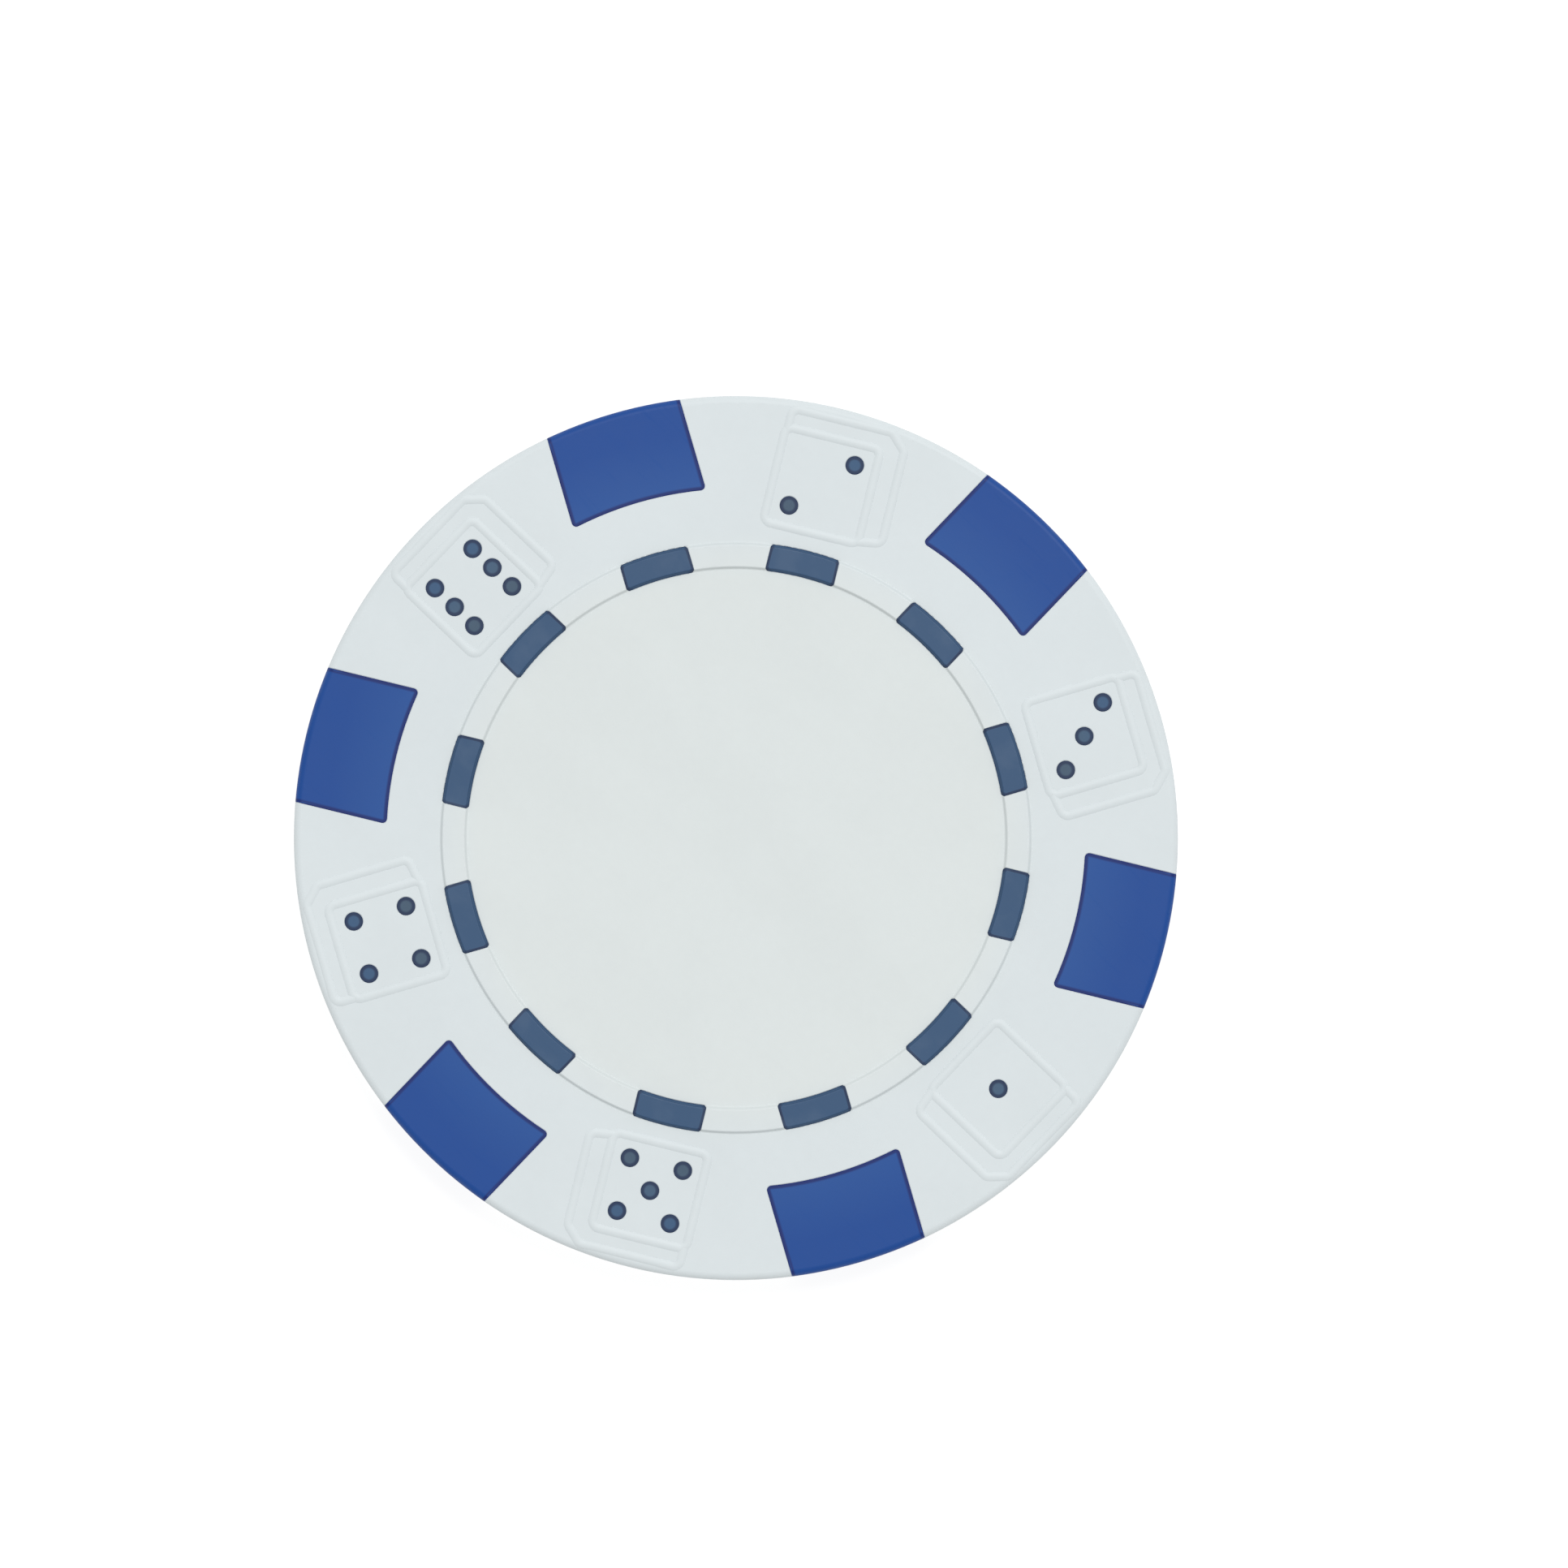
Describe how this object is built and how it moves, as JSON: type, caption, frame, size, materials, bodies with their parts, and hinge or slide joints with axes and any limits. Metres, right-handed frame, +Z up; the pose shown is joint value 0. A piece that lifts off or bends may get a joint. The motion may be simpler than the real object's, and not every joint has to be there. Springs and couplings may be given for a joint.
{
  "type": "poker chip",
  "caption": "White and blue moulded gaming chip with dice outlines, edge spots, a raised dashed ring and a blank label seat on each face.",
  "frame": {"origin": "centre of the underside, in the plane that the chip rests on", "axes": "+Z up through the chip's thickness; +X through the middle of the die that shows one pip; the numbers then run 1, 3, 2, 6, 4, 5 anticlockwise on the upper face, and the lower face is the upper one turned over about X"},
  "size_m": [0.039, 0.039, 0.0033],
  "materials": {
    "slug_steel": "satin",
    "slate_blue_plastic": "satin",
    "royal_blue_plastic": "satin",
    "white_plastic": "satin"
  },
  "bodies": {
    "root": {"steel_slug": "slug_steel", "inner_core": "slate_blue_plastic", "edge_spot_1": "royal_blue_plastic", "edge_spot_2": "royal_blue_plastic", "edge_spot_3": "royal_blue_plastic", "edge_spot_4": "royal_blue_plastic", "edge_spot_5": "royal_blue_plastic", "edge_spot_6": "royal_blue_plastic", "outer_body": "white_plastic"}
  },
  "joints": []
}
